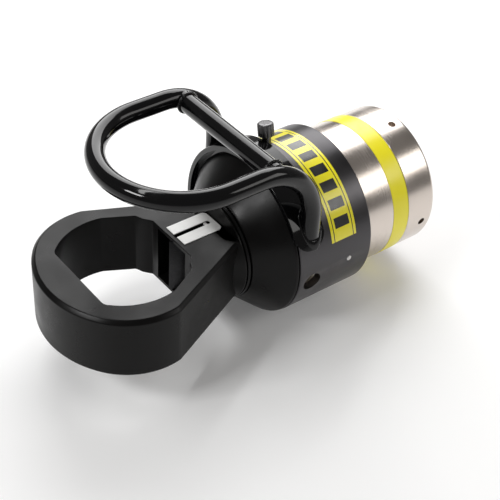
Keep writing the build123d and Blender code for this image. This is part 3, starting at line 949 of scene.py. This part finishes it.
def build_label(sizes):
    """Curved label strip on the collar."""
    r = sizes.collar_radius / MM
    strip = sector("label", 112.5, 142.5, r - 0.5, r + 0.22, 15, 165, 120)
    bevel(strip, 0.15 * MM, 2, 50)
    return smooth(strip, 30)


# One operator for each piece or group of pieces

class PieceOperator:
    """What every piece's operator shares."""
    bl_options = {"REGISTER", "UNDO"}

    def execute(self, context):
        self.build(context.scene)
        return {"FINISHED"}


class NUTSPLITTER_OT_head(PieceOperator, bpy.types.Operator):
    """Model the forged head"""
    bl_idname = "nutsplitter.head"
    bl_label = "Forged head"

    def build(self, scene):
        head = build_head(scene.splitter_head)
        head.name = "forged_head"
        finish_piece(head, "frame", "black_steel", MATERIALS["black_steel"], "splitter_head")


class NUTSPLITTER_OT_cylinder(PieceOperator, bpy.types.Operator):
    """Model the cylinder tube, its band, its retaining ring and its end cap"""
    bl_idname = "nutsplitter.cylinder"
    bl_label = "Cylinder and cap"

    def build(self, scene):
        sizes = scene.splitter_body
        for name, make, slot, node in (
            ("nickel_barrel", build_barrel, "nickel", "cylinder_barrel"),
            ("enamel_band", build_band, "yellow", "yellow_band"),
            ("snap_ring", build_retainer, "black_fastener", "retaining_ring"),
            ("rear_cap", build_cap, "nickel", "end_cap"),
        ):
            piece = make(sizes)
            piece.name = name
            finish_piece(piece, "frame", slot, MATERIALS[slot], node)


class NUTSPLITTER_OT_collar(PieceOperator, bpy.types.Operator):
    """Model the swivel collar, its label and its nipple"""
    bl_idname = "nutsplitter.collar"
    bl_label = "Swivel collar"

    def build(self, scene):
        sizes = scene.splitter_body
        for name, make, slot, node, material in (
            ("turned_collar", build_collar, "dark_collar", "swivel_collar", MATERIALS["dark_collar"]),
            ("label_strip", build_label, "yellow", "label_plate", label_strip()),
            ("domed_nipple", build_nipple, "bright_steel", "grease_nipple", MATERIALS["bright_steel"]),
        ):
            piece = make(sizes)
            piece.name = name
            finish_piece(piece, "handle", slot, material, node)


class NUTSPLITTER_OT_handle(PieceOperator, bpy.types.Operator):
    """Model the saddle, the bent loop, its crossbar and the welds"""
    bl_idname = "nutsplitter.handle"
    bl_label = "Loop handle"

    def build(self, scene):
        gloss = MATERIALS["gloss_black"]
        body = scene.splitter_body
        sizes = scene.splitter_handle
        pieces = (
            ("arched_saddle", build_saddle(body), ("handle_saddle",)),
            ("bent_loop", build_loop(sizes), ("handle_loop",)),
            ("round_crossbar", build_crossbar(sizes), ("handle_crossbar",)),
            ("foot_welds", build_foot_welds(sizes, body.saddle_radius), ()),
        )
        for name, piece, nodes in pieces:
            piece.name = name
            finish_piece(piece, "handle", "gloss_black", gloss, *nodes)


class NUTSPLITTER_OT_knob(PieceOperator, bpy.types.Operator):
    """Model the thumb knob that locks the collar"""
    bl_idname = "nutsplitter.knob"
    bl_label = "Lock knob"

    def build(self, scene):
        knob = build_knob(scene.splitter_body)
        knob.name = "fluted_knob"
        finish_piece(knob, "knob", "bright_steel", MATERIALS["knob_steel"], "lock_knob")


class NUTSPLITTER_OT_spring(PieceOperator, bpy.types.Operator):
    """Model the return spring and give it a mesh of its own"""
    bl_idname = "nutsplitter.spring"
    bl_label = "Return spring"

    def build(self, scene):
        spring = build_spring(scene.splitter_body)
        spring.name = "return_coil"
        finish_piece(spring, "frame", "spring_steel", MATERIALS["spring_steel"], "return_spring")
        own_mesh(spring)


class NUTSPLITTER_OT_finishes(PieceOperator, bpy.types.Operator):
    """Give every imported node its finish"""
    bl_idname = "nutsplitter.finishes"
    bl_label = "Finishes"

    def build(self, scene):
        slots = {part["node"]: part["material_slot"] for part in frame["record"]["subparts"]}
        for name, node in frame["nodes"].items():
            node.data.materials.clear()
            node.data.materials.append(MATERIALS[slots[name]])


def softbox(name, azimuth, elevation, distance, size, radiance, colour=(1, 1, 1)):
    """Soft rectangular light aimed at the part, placed by its direction from +X towards +Y and up."""
    middle = Vector((-0.18, 0, 0.02))
    turn = math.radians(azimuth)
    climb = math.radians(elevation)
    way = Vector((math.cos(climb) * math.cos(turn), math.cos(climb) * math.sin(turn), math.sin(climb)))
    lamp = bpy.data.lights.new(name, "AREA")
    lamp.shape = "RECTANGLE"
    lamp.size, lamp.size_y = size
    lamp.energy = radiance * math.pi * size[0] * size[1]
    lamp.color = colour
    light = bpy.data.objects.new(name, lamp)
    light.location = middle + distance * way
    light.rotation_euler = (-way).to_track_quat("-Z", "Y").to_euler()
    bpy.context.scene.collection.objects.link(light)
    return light


class NUTSPLITTER_OT_stage(PieceOperator, bpy.types.Operator):
    """Set up the floor, the lights and the camera"""
    bl_idname = "nutsplitter.stage"
    bl_label = "Studio"

    def build(self, scene):
        look = scene.splitter_studio
        deselect_all()
        bpy.ops.mesh.primitive_plane_add(size=14, location=(0, 0, look.floor_drop))
        floor = bpy.context.active_object
        floor.name = "studio_floor"
        floor.data.materials.append(studio_floor())

        world = bpy.data.worlds.new("studio")
        world.use_nodes = True
        background = world.node_tree.nodes["Background"]
        background.inputs["Color"].default_value = (*look.world_colour, 1)
        background.inputs["Strength"].default_value = look.world_strength
        scene.world = world
        scene.view_settings.view_transform = "Standard"

        softbox("far_softbox", 53, 38, 1.6, (1.5, 1.1), 4.6)
        softbox("right_softbox", -46, 30, 1.5, (0.85, 0.5), 3.2, (1, 0.985, 0.96))
        softbox("nose_softbox", 177, 40, 2.0, (0.6, 0.34), 22.0)
        softbox("top_strip", 120, 70, 1.8, (1.6, 0.12), 10.0)

        camera_data = bpy.data.cameras.new("camera")
        camera_data.sensor_width = 36
        camera_data.lens = 91.27
        camera_data.clip_end = 50
        camera = bpy.data.objects.new("camera", camera_data)
        scene.collection.objects.link(camera)
        right = Vector((0.79612631, -0.60330506, 0.0469671))
        up = Vector((0.35519294, 0.52872963, 0.7708975))
        back = Vector((-0.48991926, -0.5970494, 0.63522526))
        turn = Matrix((right, up, back)).transposed().to_4x4()
        camera.matrix_world = Matrix.Translation((-0.79257, -0.75046, 0.77351)) @ turn
        scene.camera = camera


PIECES = (
    NUTSPLITTER_OT_stage,
    NUTSPLITTER_OT_finishes,
    NUTSPLITTER_OT_head,
    NUTSPLITTER_OT_cylinder,
    NUTSPLITTER_OT_collar,
    NUTSPLITTER_OT_handle,
    NUTSPLITTER_OT_knob,
    NUTSPLITTER_OT_spring,
)
GROUPS = {
    "splitter_head": HeadSizes,
    "splitter_body": BodySizes,
    "splitter_handle": HandleSizes,
    "splitter_studio": StudioLook,
}


class NUTSPLITTER_PT_panel(bpy.types.Panel):
    """Sidebar panel that lists the pieces and their sizes"""
    bl_idname = "NUTSPLITTER_PT_panel"
    bl_label = "Nut Splitter"
    bl_space_type = "VIEW_3D"
    bl_region_type = "UI"
    bl_category = "Nut Splitter"

    def draw(self, context):
        for group in GROUPS:
            sizes = getattr(context.scene, group)
            box = self.layout.box()
            for key in sizes.bl_rna.properties.keys():
                if key not in ("rna_type", "name"):
                    box.prop(sizes, key)
        for piece in PIECES:
            self.layout.operator(piece.bl_idname)


def register():
    for group, kind in GROUPS.items():
        bpy.utils.register_class(kind)
        setattr(bpy.types.Scene, group, bpy.props.PointerProperty(type=kind))
    for piece in (*PIECES, NUTSPLITTER_PT_panel):
        bpy.utils.register_class(piece)


def unregister():
    for piece in reversed((*PIECES, NUTSPLITTER_PT_panel)):
        bpy.utils.unregister_class(piece)
    for group, kind in GROUPS.items():
        delattr(bpy.types.Scene, group)
        bpy.utils.unregister_class(kind)


def main():
    register()
    for piece in PIECES:
        folder, name = piece.bl_idname.split(".")
        getattr(getattr(bpy.ops, folder), name)()


if __name__ == "__main__":
    main()
